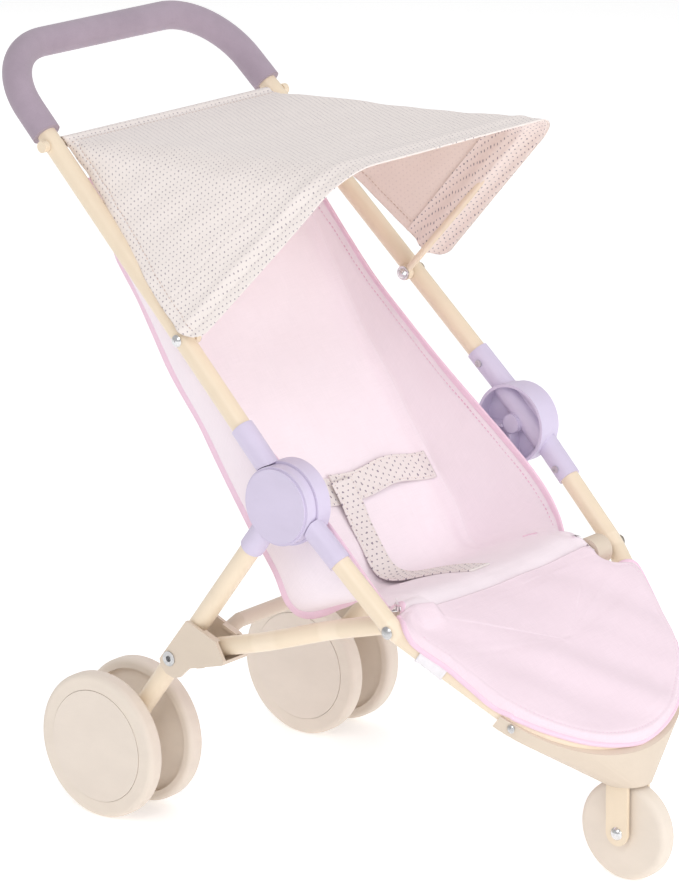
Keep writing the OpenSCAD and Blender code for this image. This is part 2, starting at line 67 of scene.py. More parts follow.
class Mat:
    """A Principled material with helpers for its procedural parts."""

    def __init__(self, name, colour, rough, metal=0.0, sheen=0.0, coat=0.0, spec=0.5):
        self.m = bpy.data.materials.new(name)
        self.m.use_nodes = True
        self.m.diffuse_color = colour
        self.t = self.m.node_tree
        self.b = self.t.nodes["Principled BSDF"]
        self.b.inputs["Base Color"].default_value = colour
        self.b.inputs["Roughness"].default_value = rough
        self.b.inputs["Metallic"].default_value = metal
        self.b.inputs["Specular IOR Level"].default_value = spec
        self.b.inputs["Sheen Weight"].default_value = sheen
        self.b.inputs["Sheen Roughness"].default_value = 0.45
        self.b.inputs["Coat Weight"].default_value = coat
        self.b.inputs["Coat Roughness"].default_value = 0.25
        self.normal = None

    def feed(self, socket, value):
        """Links the socket to another one, or sets it to a constant."""
        if isinstance(value, bpy.types.NodeSocket):
            self.t.links.new(value, socket)
        else:
            socket.default_value = value

    def node(self, kind, inputs):
        n = self.t.nodes.new("ShaderNode" + kind)
        for name, value in inputs.items():
            self.feed(n.inputs[name], value)
        return n

    def coords(self, kind):
        return self.node("TexCoord", {}).outputs[kind]

    def noise(self, scale, detail=3.0, rough=0.55, kind="Object", stretch=None):
        at = self.coords(kind)
        if stretch:
            at = self.node("Mapping", {"Vector": at, "Scale": stretch}).outputs["Vector"]
        n = self.node("TexNoise", {"Vector": at, "Scale": scale, "Detail": detail, "Roughness": rough})
        return n.outputs["Fac"]

    def cells(self, scale):
        """Distance to the nearest of many scattered points."""
        n = self.node("TexVoronoi", {"Vector": self.coords("Object"), "Scale": scale})
        return n.outputs["Distance"]

    def math(self, operation, *values):
        n = self.node("Math", {})
        n.operation = operation
        for socket, value in zip(n.inputs, values):
            self.feed(socket, value)
        return n.outputs[0]

    def remap(self, value, a, b, c, d):
        """The value carried from the range a to b over to the range c to d."""
        ends = {"From Min": a, "From Max": b, "To Min": c, "To Max": d}
        return self.node("MapRange", {"Value": value, **ends}).outputs["Result"]

    def mix(self, factor, a, b):
        """Colour a, turning to colour b as the factor goes to 1."""
        n = self.node("Mix", {})
        n.data_type = "RGBA"
        for index, value in ((0, factor), (6, a), (7, b)):
            self.feed(n.inputs[index], value)
        return n.outputs[2]

    def paint(self, colour):
        self.feed(self.b.inputs["Base Color"], colour)

    def roughness(self, value):
        self.feed(self.b.inputs["Roughness"], value)

    def bump(self, height, distance, strength):
        """Adds a layer of bump over the ones before it."""
        n = self.node("Bump", {"Strength": strength, "Distance": distance, "Height": height})
        if self.normal is not None:
            self.feed(n.inputs["Normal"], self.normal)
        self.normal = n.outputs["Normal"]
        self.feed(self.b.inputs["Normal"], self.normal)

    def wear(self, low, high):
        """How far a point is on a rounded or sharp outer edge, 0 to 1."""
        return self.remap(self.node("NewGeometry", {}).outputs["Pointiness"], low, high, 0.0, 1.0)


def painted(name, colour):
    """Powder-coated tube: orange peel, faint mottling, thin rubs on the edges."""
    rough = 0.36
    m = Mat(name, colour, rough, coat=0.12, spec=0.45)
    patch = m.remap(m.noise(38, 4), 0.35, 0.65, 0, 1)
    base = m.mix(patch, shade(colour, 0.975), shade(colour, 1.02))
    rub = m.math("MULTIPLY", m.wear(0.53, 0.6), 0.35)
    m.paint(m.mix(rub, base, shade(colour, 0.86, (1, 0.97, 0.9))))
    m.roughness(m.remap(m.noise(160, 4), 0.3, 0.7, rough - 0.06, rough + 0.08))
    m.bump(m.noise(1500, 2), 0.00004, 0.35)
    m.bump(m.noise(9000, 1), 0.00002, 0.2)
    return m.m


def plastic(name, colour, rough=0.5, grain=2600):
    """Moulded plastic: fine spark texture, slight flow mottling, paler rubbed edges."""
    m = Mat(name, colour, rough, spec=0.42)
    flow = m.remap(m.noise(22, 5, 0.6, stretch=(1, 1, 2.2)), 0.32, 0.68, 0, 1)
    base = m.mix(flow, shade(colour, 0.965), shade(colour, 1.025))
    rub = m.math("MULTIPLY", m.wear(0.52, 0.62), 0.3)
    m.paint(m.mix(rub, base, shade(colour, 1.09)))
    m.roughness(m.remap(m.noise(90, 5), 0.3, 0.7, rough - 0.07, rough + 0.07))
    m.bump(m.noise(grain, 2, 0.7), 0.00005, 0.35)
    m.bump(m.noise(60, 2), 0.0002, 0.12)
    return m.m


def foam(name, colour):
    """Closed-cell foam grip: matte, pitted with tiny cells, each pit darkened with painted shade."""
    m = Mat(name, colour, 0.88, sheen=0.25, spec=0.25)
    pores = m.remap(m.cells(1700), 0.05, 0.45, 0, 1)
    patch = m.remap(m.noise(45, 4), 0.3, 0.7, 0, 1)
    base = m.mix(patch, shade(colour, 0.93), shade(colour, 1.05))
    # painted shade: the colour darkens towards the bottom of each pit
    pit_shade = m.math("MULTIPLY", m.math("SUBTRACT", 1.0, pores), 0.35)
    m.paint(m.mix(pit_shade, base, shade(colour, 0.72)))
    m.bump(pores, 0.00012, 0.5)
    m.bump(m.noise(420, 4, 0.7), 0.00025, 0.35)
    return m.m


def zinc(name, colour, rough=0.3):
    """Plated metal with brushed, uneven gloss."""
    m = Mat(name, colour, rough, metal=1.0)
    patch = m.remap(m.noise(500, 4), 0.3, 0.7, 0, 1)
    m.paint(m.mix(patch, shade(colour, 0.82), shade(colour, 1.1)))
    brushed = m.noise(900, 3, stretch=(1, 6, 6))
    m.roughness(m.remap(brushed, 0.3, 0.7, rough - 0.1, rough + 0.15))
    m.bump(m.noise(1800, 3), 0.00003, 0.3)
    return m.m


def uv_xy(m):
    s = m.node("SeparateXYZ", {"Vector": m.coords("UV")})
    return s.outputs[0], s.outputs[1]


def weave(m, pitch, depth, strength, colour):
    """Plain weave on the UV map, which is in metres, with slubs in both yarns."""
    dark, light = 0.95, 1.03
    u, v = uv_xy(m)
    warp, weft = (m.math("SINE", m.math("MULTIPLY", a, TAU / pitch)) for a in (u, v))
    over = m.math("MULTIPLY", warp, weft)
    slub_u = m.noise(1, 2, kind="UV", stretch=(2600, 70, 1))
    slub_v = m.noise(1, 2, kind="UV", stretch=(70, 2600, 1))
    slub = m.remap(m.math("ADD", slub_u, slub_v), 0.7, 1.3, 0, 1)
    m.bump(m.math("ADD", m.math("MULTIPLY", over, 0.5), slub), depth, strength)
    yarn = m.mix(slub, shade(colour, dark), shade(colour, light))
    cloud = m.remap(m.noise(30, 4), 0.3, 0.7, 0, 1)
    return m.mix(m.math("MULTIPLY", cloud, 0.5), yarn, shade(colour, (dark + light) / 2 * 0.97))


def cloth(name, colour, pitch=0.0006, sheen=0.2, rumple=0.0006):
    """Plain woven cloth."""
    m = Mat(name, colour, 0.86, sheen=sheen, spec=0.2)
    m.paint(weave(m, pitch, 0.00008, 0.35, colour))
    m.bump(m.noise(55, 4, 0.55), rumple, 0.35)
    return m.m


def dotted(name, ground, ink, pitch, size, faint=0.0, rumple=0.0006, sheen=0.2):
    """Cotton with a staggered print of small dots, each a little off its place.
    pitch and size are in metres, and faint is how much of the ink is missing."""
    stray_u, stray_v = 0.5, 0.65    # how far dots stray, in pitches
    m = Mat(name, ground, 0.84, sheen=sheen, spec=0.2)
    base = weave(m, 0.00055, 0.00007, 0.3, ground)
    u, v = uv_xy(m)
    column = m.math("DIVIDE", u, pitch[0])
    row = m.math("DIVIDE", v, pitch[1])
    odd = m.math("FLOORED_MODULO", m.math("FLOOR", row), 2.0)
    column = m.math("ADD", column, m.math("MULTIPLY", odd, 0.5))
    drift_u = m.noise(1, 1, kind="UV", stretch=(260, 260, 1))
    drift_v = m.math("SUBTRACT", m.noise(1, 1, kind="UV", stretch=(210, 240, 1)), 0.5)
    column = m.math("ADD", column, m.math("MULTIPLY", drift_u, stray_u))
    row = m.math("ADD", row, m.math("MULTIPLY", drift_v, stray_v))
    # place in the dot's own cell, in dot radii
    x, y = (
        m.math("MULTIPLY", m.math("SUBTRACT", m.math("FRACT", place), 0.5), step / radius)
        for place, step, radius in zip((column, row), pitch, size)
    )
    distance = m.math("SQRT", m.math("ADD", m.math("MULTIPLY", x, x), m.math("MULTIPLY", y, y)))
    ragged = m.math("MULTIPLY", m.noise(1, 2, kind="UV", stretch=(3500, 3500, 1)), 0.25)
    dot = m.remap(m.math("ADD", distance, ragged), 1.22, 0.95, 0, 1)
    m.paint(m.mix(m.math("MULTIPLY", dot, 1 - faint), base, ink))
    m.bump(m.noise(50, 4, 0.5), rumple, 0.3)
    return m.m


TUBE = painted("tube_paint", lin(243, 226, 203))
GRIP = foam("grip_foam", lin(172, 156, 170))
LILAC = plastic("hub_lilac", lin(211, 201, 224), 0.46)
BEIGE = plastic("moulded_beige", lin(217, 202, 185), 0.5)
WHEEL = plastic("wheel_beige", lin(232, 220, 207), 0.58, 2200)
CAP = plastic("wheel_cap_beige", lin(230, 218, 206), 0.5, 3000)
STEEL = zinc("zinc_plate", lin(205, 205, 206))
BRIGHT = zinc("polished_zinc", lin(228, 228, 230), 0.16)

SEAT_CLOTH = cloth("seat_cloth", lin(251, 239, 246))
BINDING = cloth("seat_binding", lin(243, 210, 228), 0.0005, 0.25, 0.0003)
FOOT_CLOTH = cloth("footrest_cloth", lin(241, 221, 231), rumple=0.0012)
LOOP_CLOTH = cloth("loop_cloth", lin(240, 236, 240), 0.0007, rumple=0.0004)
THREAD_PINK = cloth("thread_pink", lin(236, 190, 214), 0.0003, 0.1, 0.0001)
THREAD_SAND = cloth("thread_sand", lin(214, 190, 178), 0.0003, 0.1, 0.0001)
CANOPY_PRINT = dotted(
    "canopy_print", lin(243, 234, 230), lin(138, 126, 140), (0.0044, 0.0032), (0.00054, 0.00044))
CANOPY_REVERSE = dotted(
    "canopy_reverse", lin(244, 230, 221), lin(198, 182, 182), (0.0044, 0.0032), (0.00056, 0.0005),
    faint=0.72)
CANOPY_FACING = dotted(
    "canopy_facing", lin(247, 234, 227), lin(138, 126, 138), (0.0046, 0.0034), (0.00062, 0.00052))
WEBBING = dotted(
    "webbing_print", lin(238, 230, 228), lin(146, 134, 148), (0.0056, 0.0040), (0.00085, 0.0006),
    rumple=0.0003, sheen=0.15)

HARD_PARTS = [
    (TUBE, "handle_tube front_tube leg_right leg_left brace_right brace_left"),
    (TUBE, "canopy_bow canopy_rod canopy_clips fork fork_cheeks"),
    (GRIP, "handle_grip"),
    (LILAC, "hub_right hub_left leg_hub_right leg_hub_left hub_pins"),
    (BEIGE, "nose_housing bracket_right bracket_left cross_bar brace_end_right brace_end_left"),
    (WHEEL, "front_wheel wheel_right_outer wheel_right_inner wheel_left_inner wheel_left_outer"),
    (CAP, "cap_right_outer cap_right_inner cap_left_inner cap_left_outer"),
    (STEEL, "socket_rivets frame_pivots nose_rivets axle_right axle_left bracket_eyelets"),
    (STEEL, "knee_pins cross_bar_screws brace_eyelets"),
    (BRIGHT, "front_axle canopy_bolts"),
]
for material, names in HARD_PARTS:
    for name in names.split():
        slots = NODES[name].data.materials
        slots.clear()
        slots.append(material)


# ---------------------------------------------------------------- geometry helpers, in millimetres

def curve(keys, t):
    """Smooth curve through rows of (parameter, values...), at each t."""
    k = np.array(keys, float)
    x, y = k[:, 0], k[:, 1:]
    d = (y[1:] - y[:-1]) / (x[1:] - x[:-1])[:, None]
    m = np.vstack([d[:1], (d[1:] + d[:-1]) / 2, d[-1:]])
    t = np.clip(np.asarray(t, float), x[0], x[-1])
    i = np.clip(np.searchsorted(x, t, side="right") - 1, 0, len(x) - 2)
    h = (x[i + 1] - x[i])[..., None]
    u = ((t - x[i]) / (x[i + 1] - x[i]))[..., None]
    return (
        y[i] * (2 * u**3 - 3 * u**2 + 1) + y[i + 1] * (3 * u**2 - 2 * u**3)
        + m[i] * h * (u**3 - 2 * u**2 + u) + m[i + 1] * h * (u**3 - u**2)
    )


def unit(v):
    return v / np.maximum(np.linalg.norm(v, axis=-1, keepdims=True), 1e-12)


def tangents(path):
    return unit(np.gradient(path, axis=0))


def ramp(v, a, b):
    """0 at a and before, 1 at b and after, smooth between."""
    u = np.clip((v - a) / (b - a), 0, 1)
    return u * u * (3 - 2 * u)


def ridge(v, centre, width):
    """A rounded ridge 1 high."""
    return np.exp(-(((v - centre) / width) ** 2))


def higher(a, b, soft):
    """The larger of two heights, rounded where they cross."""
    return 0.5 * (a + b + np.sqrt((a - b) ** 2 + soft * soft))


def ripple(a, b, seed):
    """Smooth pseudo-random field of about unit height over two lengths in millimetres."""
    r = np.random.default_rng(seed)
    out = np.zeros(np.broadcast(a, b).shape)
    for _ in range(9):
        w = TAU / r.uniform(28, 90)
        q = r.uniform(0, TAU)
        wave = a * math.cos(q) + b * math.sin(q)
        out = out + r.uniform(0.4, 1) * np.sin(w * wave + r.uniform(0, TAU))
    return out / 3.0


def lengths(P, axis=0):
    """Distance from the first point along one axis of a grid or path."""
    d = np.linalg.norm(np.diff(P, axis=axis), axis=-1)
    start = np.zeros_like(np.take(d, [0], axis))
    return np.concatenate([start, np.cumsum(d, axis)], axis)


def resample(path, step, normals):
    """The path and its normals at even steps."""
    s = lengths(path)
    t = np.linspace(0, s[-1], max(2, int(s[-1] / step) + 1))
    return [np.stack([np.interp(t, s, a[:, i]) for i in range(3)], 1) for a in (path, normals)]


def oval(a, b, k, power=2.0):
    """A ring of k points, rounder at power 2 and squarer above it."""
    t = np.arange(k) / k * TAU
    c, s = np.cos(t), np.sin(t)
    across = a * np.sign(c) * np.abs(c) ** (2 / power)
    return np.stack([across, b * np.sign(s) * np.abs(s) ** (2 / power)], 1)


def grid_faces(n, m, wrap=False):
    """Quads of a grid of n rows and m columns, joined round if wrap."""
    i, j = np.meshgrid(np.arange(n - 1), np.arange(m if wrap else m - 1), indexing="ij")
    i, j = i.ravel(), j.ravel()
    k = (j + 1) % m
    return np.stack([i * m + j, i * m + k, (i + 1) * m + k, (i + 1) * m + j], 1)


def make(name, verts, faces, uvs, materials):
    """A smooth-shaded mesh object from points and a UV for each."""
    me = bpy.data.meshes.new(name)
    me.from_pydata((np.asarray(verts) * MM).tolist(), [], [list(map(int, f)) for f in faces])
    corners = np.zeros(len(me.loops), np.int32)
    me.loops.foreach_get("vertex_index", corners)
    uv = np.asarray(uvs, float) * MM
    layer = me.uv_layers.new(name="UVMap")
    layer.data.foreach_set("uv", uv[corners].astype(np.float32).ravel())
    me.polygons.foreach_set("use_smooth", [True] * len(me.polygons))
    for m in materials:
        me.materials.append(m)
    me.update()
    o = bpy.data.objects.new(name, me)
    bpy.context.scene.collection.objects.link(o)
    return o


def tidy_normals(o):
    b = bmesh.new()
    b.from_mesh(o.data)
    bmesh.ops.recalc_face_normals(b, faces=b.faces)
    b.to_mesh(o.data)
    b.free()
    return o


def thicken(o, mm, inner=0):
    """Gives a sheet its thickness; inner is the step to the material of its back."""
    s = o.modifiers.new("thickness", "SOLIDIFY")
    s.thickness = mm * MM
    s.offset = 0
    s.use_even_offset = True
    s.thickness_clamp = 0.6
    s.material_offset = inner
    s.use_rim = True
    me = bpy.data.meshes.new_from_object(o.evaluated_get(bpy.context.evaluated_depsgraph_get()))
    o.modifiers.clear()
    old, o.data = o.data, me
    bpy.data.meshes.remove(old)
    return o


def surface(name, P, UV, materials, mm, flip=False):
    """A sheet of cloth from a grid of points, mm thick. A second material is for its back."""
    f = grid_faces(*P.shape[:2])
    if flip:
        f = f[:, ::-1]
    o = make(name, P.reshape(-1, 3), f, UV.reshape(-1, 2), materials)
    return thicken(o, mm, len(materials) - 1)


def sweep(name, path, wide, thick, profile, material, slot_name):
    """A closed profile [(across, up)] along a path, with flat ends. wide and thick are its two
    directions at each point, and there may be a profile for each point."""
    n, m = len(path), np.shape(profile)[-2]
    prof = np.broadcast_to(profile, (n, m, 2))
    P = path[:, None] + wide[:, None] * prof[..., :1] + thick[:, None] * prof[..., 1:]
    UV = np.stack([prof[..., 0] + 40, np.repeat(lengths(path)[:, None], m, 1)], -1)
    faces = grid_faces(n, m, wrap=True).tolist()
    faces += [list(range(m))[::-1], [(n - 1) * m + k for k in range(m)]]
    return tidy_normals(make(name, P.reshape(-1, 3), faces, UV.reshape(-1, 2), [material]))


def stitches(name, lines, material, half, pitch=3.3, long=2.2, wide=0.26):
    """Rows of machine stitches, each a small rounded bar that stands half proud of the cloth.
    lines is a list of (points, normals)."""
    rings = [(-0.42, 0.75), (-0.2, 1.0), (0.2, 1.0), (0.42, 0.75)]    # (place along, radius)
    sides = 6
    verts, faces, uvs = [], [], []
    for path, normals in lines:
        points, normals = resample(path, pitch, normals)
        for c, d, up in zip(points[1:-1], tangents(points)[1:-1], unit(normals)[1:-1]):
            side = unit(np.cross(d, up))
            base = len(verts)
            for a, r in rings:
                for k in range(sides):
                    w = k / sides * TAU
                    out = side * wide * r * math.cos(w)
                    verts.append(c + d * a * long + out + up * half * r * math.sin(w))
                    uvs.append((a * long, k * 0.2))
            tip = len(verts)
            verts += [c - d * long / 2, c + d * long / 2]
            uvs += [(0, 0), (long, 0)]
            for r in range(len(rings) - 1):
                ring, after = base + r * sides, base + (r + 1) * sides
                for k in range(sides):
                    k2 = (k + 1) % sides
                    faces.append([ring + k, ring + k2, after + k2, after + k])
            last = base + (len(rings) - 1) * sides
            for k in range(sides):
                k2 = (k + 1) % sides
                faces.append([tip, base + k2, base + k])
                faces.append([tip + 1, last + k, last + k2])
    return tidy_normals(make(name, verts, faces, uvs, [material]))


# where the frame tubes' line and the front bend's plane start, and their directions, in (y, z)
FRAME_Y, FRAME_Z = -34.527, 261.47
FRAME_DY, FRAME_DZ = 0.72417, 0.68962
BEND_Y, BEND_Z = -115.42, 184.44
BEND_DY, BEND_DZ = 0.78801, 0.61566


def frame_point(x, s, n):
    """A point s along the frame tubes and n in front of them."""
    x, s, n = np.broadcast_arrays(np.asarray(x, float), s, n)
    y = FRAME_Y + FRAME_DY * s - FRAME_DZ * n
    return np.stack([x, y, FRAME_Z + FRAME_DZ * s + FRAME_DY * n], -1)


def front_point(x, t, n):
    """A point t forward in the plane of the front bend and n above it."""
    x, t, n = np.broadcast_arrays(np.asarray(x, float), t, n)
    y = BEND_Y - BEND_DY * t - BEND_DZ * n
    return np.stack([x, y, BEND_Z - BEND_DZ * t + BEND_DY * n], -1)


# ---------------------------------------------------------------- camera, light and floor

CAMERA_AT = (-2.15405, -1.77166, 1.06024)
AZIMUTH, ELEVATION, ROLL = -50.1, 15.97, -0.69    # degrees
FLOOR_RADII = [0.5, 1.5, 4, 9, 16]


def camera():
    data = bpy.data.cameras.new("camera")
    data.lens, data.sensor_width, data.sensor_fit = 171.91, 36, "AUTO"
    data.clip_start, data.clip_end = 0.05, 60
    o = bpy.data.objects.new("camera", data)
    bpy.context.scene.collection.objects.link(o)
    a, e, r = (math.radians(v) for v in (AZIMUTH, ELEVATION, ROLL))
    back = Vector((math.sin(a) * math.cos(e), -math.cos(a) * math.cos(e), math.sin(e)))
    right = Vector((math.cos(a), math.sin(a), 0))
    up = Vector((-math.sin(a) * math.sin(e), math.cos(a) * math.sin(e), math.cos(e)))
    rolled_right = right * math.cos(r) + up * math.sin(r)
    rolled_up = up * math.cos(r) - right * math.sin(r)
    m = Matrix((rolled_right, rolled_up, back)).transposed().to_4x4()
    m.translation = Vector(CAMERA_AT)
    o.matrix_world = m
    bpy.context.scene.camera = o


def area(name, at, to, size, watts):
    """A white disk light that faces a point."""
    light = bpy.data.lights.new(name, "AREA")
    light.shape, light.size, light.energy = "DISK", size, watts
    o = bpy.data.objects.new(name, light)
    o.location = at
    o.rotation_euler = (Vector(to) - Vector(at)).to_track_quat("-Z", "Y").to_euler()
    bpy.context.scene.collection.objects.link(o)


def floor():
    """A white disk that glows a little, so that it is as bright as the world behind it."""
    k = 96
    verts = [(0, 0, 0)]
    for r in FLOOR_RADII:
        verts += [(r * math.cos(i / k * TAU), r * math.sin(i / k * TAU), 0) for i in range(k)]
    faces = [(0, 1 + i, 1 + (i + 1) % k) for i in range(k)]
    for ring in range(len(FLOOR_RADII) - 1):
        b, c = 1 + ring * k, 1 + (ring + 1) * k
        faces += [(b + i, c + i, c + (i + 1) % k, b + (i + 1) % k) for i in range(k)]
    me = bpy.data.meshes.new("floor")
    me.from_pydata(verts, [], faces)
    o = bpy.data.objects.new("floor", me)
    bpy.context.scene.collection.objects.link(o)
    m = Mat("floor", (0.93, 0.93, 0.93, 1), 0.9, spec=0.1)
    m.b.inputs["Emission Color"].default_value = (1, 1, 1, 1)
    m.b.inputs["Emission Strength"].default_value = 0.36
    m.bump(m.noise(300, 2), 0.0001, 0.05)
    me.materials.append(m.m)


def studio():
    camera()
    area("key", (-2.3, -1.1, 2.3), (0, 0, 0.25), 1.6, 22)
    area("front", (0.5, -2.6, 1.3), (0, 0, 0.3), 2.0, 20)
    area("inside", (-0.9, -2.3, 0.75), (0, 0.05, 0.33), 0.9, 6)
    area("top", (0.3, 0.5, 3.0), (0, 0, 0.2), 2.5, 8)
    area("back", (1.6, 2.2, 1.6), (0, 0, 0.3), 2.0, 8)
    world = bpy.data.worlds.new("studio")
    world.use_nodes = True
    background = world.node_tree.nodes["Background"]
    background.inputs["Color"].default_value = (1, 1, 1, 1)
    background.inputs["Strength"].default_value = 0.56
    bpy.context.scene.world = world
    bpy.context.scene.view_settings.view_transform = "Standard"
    floor()


studio()


# ---------------------------------------------------------------- canopy

# centres of the rear rod, the bow's pivots and the bow's front run, in (y, z)
ROD = np.array([182.0, 467.7])
PIVOT = np.array([61.07, 352.50])
BOW = np.array([-55.4, 479.1])
ARM = unit(BOW - PIVOT)
SLEEVE = 3.7         # from the rod's centre to the cloth round it
OVER_BOW = 3.3       # from the bow's centre to the cloth over it
REAR = ROD + np.array([0.0, SLEEVE])
FRONT = 1.075        # v of the front edge, where the rod is 0 and the bow wire 1
ROD_HALF = 106       # half width of the cloth at the rod
WIDER = 9.6          # and how much more at the bow
SIDE_RUN = 167.0     # about the length of the lower edge from v = 0 to 1
CORNER = 18.0        # radius of the lower front corners
HEM = 8.2            # from the lower edges to their stitching
FRONT_SEAM, TUNNEL_SEAM, SLEEVE_SEAM = 1.03, 0.873, 0.052    # v of the stitched lines


def canopy_lines(v, side):
    """Top line and lower edge at v, for the far (+) and near (-) side."""
    v = v[..., None]
    low = PIVOT + ARM * np.where(side > 0, 21.0, 13.0)[..., None]
    return REAR + v * (BOW + ARM * OVER_BOW - REAR), REAR + v * (low - REAR)


def canopy_surface(f, v, inset=0.0):
    """Point of the canopy at f (-1 near edge to 1 far edge) and v (0 rod to FRONT), inset from
    its outside, with its distances over the cloth from the middle and from the lower edge."""
    f, v = np.broadcast_arrays(np.asarray(f, float), np.asarray(v, float))
    side = np.sign(f)
    top, low = canopy_lines(v, side)
    span = low - top
    h = np.linalg.norm(span, axis=-1)
    top_1, low_1 = canopy_lines(np.ones_like(v), side)
    down = np.where(h[..., None] > 1e-6, span / np.maximum(h, 1e-9)[..., None], unit(low_1 - top_1))

    # cross section: flat top, round shoulder, straight side
    half = ROD_HALF + WIDER * np.minimum(v, 1.0) + 0.8 * np.maximum(v - 1, 0)
    r = np.minimum(9 + 18.5 * v, h * 0.92)
    flat, arc = half - r, r * math.pi / 2
    length = flat + arc + np.maximum(h - r, 0)
    s = np.abs(f) * length
    edge = length - s
    turn = np.clip((s - flat) / np.maximum(r, 1e-6), 0, math.pi / 2)
    x = np.where(s < flat, s, flat + r * np.sin(turn))
    d = np.where(s < flat, 0, r * (1 - np.cos(turn)))
    d = d + np.maximum(s - flat - arc, 0)

    # slack: the top hangs a little between rod and bow, and the sides belly out
    hang = np.sin(math.pi * np.clip(v, 0, 1)) ** 0.9
    drop = 4.2 * hang * np.cos(np.clip(x / half, 0, 1) * math.pi / 2) ** 0.5
    belly = 2.6 * hang * np.sin(math.pi * np.clip(d / np.maximum(h, 1), 0, 1))

    # the wire's tunnel between two rows of stitching, and the step below the rod's sleeve
    relief = 1.3 * ridge(v, 0.985, 0.022) - 0.5 * ridge(v, 1.03, 0.007) - 0.45 * ridge(v, 0.871, 0.008)
    step = ramp(v, 0.012, 0.04) * (1 - ramp(v, 0.06, 0.2))
    relief = relief - 2.6 * step * np.clip(1 - d / 6, 0, 1)
    relief = relief + 0.35 * (edge < 7.2) - 0.45 * ridge(edge, HEM, 0.9) * (v > 0.06)
    rumple = ripple(v * 237, side * s, 11) * 0.9 * np.clip(v * 4, 0, 1)
    rumple = rumple * np.clip((FRONT - v) * 9, 0.15, 1)
    # long soft folds that run from the rod ends towards the bow
    folds = 0.8 * np.sin(v * 9 + s * 0.05) * ridge(s, flat + 8, 26) * hang
    out = relief + rumple * 0.8 + folds - inset

    # the near side flares out over its tube, as the stiff hem does
    lower = np.clip(d / np.maximum(h, 1), 0, 1)
    flare = np.where(f < 0, 15.0, 5.0) * lower ** 1.6 * np.clip((v - 0.18) / 0.7, 0, 1)
    x = x + np.sin(turn) * (out + belly) + flare
    d = d + np.where(f < 0, 5.0, 0.0) * lower**2 * np.clip((v - 0.3) / 0.5, 0, 1)
    d = d - np.cos(turn) * out + drop
    p = top + down * d[..., None]
    return np.stack([side * x, p[..., 0], p[..., 1]], -1), s * side, edge


def canopy_uv(P, s):
    """The cloth laid flat: across, and along from the rod to the bow, shifted to be positive."""
    along = unit(BOW + ARM * OVER_BOW - ROD - np.array([0, SLEEVE]))
    below = np.array([along[1], -along[0]])
    below = below if below[1] < 0 else -below
    from_rod = P[..., 1:] - REAR
    shoulder = 4.5 * np.exp(-np.maximum(np.abs(P[..., 0]) - 60, 0) / 20)
    drop = np.maximum(from_rod @ below - shoulder, 0)
    across = np.sign(s) * (np.abs(P[..., 0]) + drop)
    return np.stack([across + 300, from_rod @ along + 60], -1)


def round_corner(f, v):
    """Pulls the two lower front corners of the grid in to a round."""
    _, s, edge = canopy_surface(f, v)
    p, q = 1 - (FRONT - v) * SIDE_RUN / CORNER, 1 - edge / CORNER
    inside = (p > 0) & (q > 0)
    p2 = np.where(inside, p * np.sqrt(np.maximum(1 - q * q / 2, 0)), p)
    q2 = np.where(inside, q * np.sqrt(np.maximum(1 - p * p / 2, 0)), q)
    v2 = np.where(inside, FRONT - (1 - p2) * CORNER / SIDE_RUN, v)
    f2 = np.where(inside, np.sign(f) * (1 - (1 - q2) * CORNER / (np.abs(s) + edge)), f)
    return f2, v2


def joined(*runs):
    """Even runs of (from, to, count) one after the other, each but the last without its end."""
    parts = [np.linspace(*run) for run in runs]
    return np.concatenate([p[:-1] for p in parts[:-1]] + parts[-1:])


def mirrored(half):
    return np.concatenate([-half[::-1], half[1:]])


def canopy_seam(f, v, sunk=0.0):
    """Points and normals of a line of stitching on the canopy."""
    outer = canopy_surface(f, v)[0]
    inner = canopy_surface(f, v, 1.0)[0]
    return outer + (inner - outer) * sunk, outer - inner


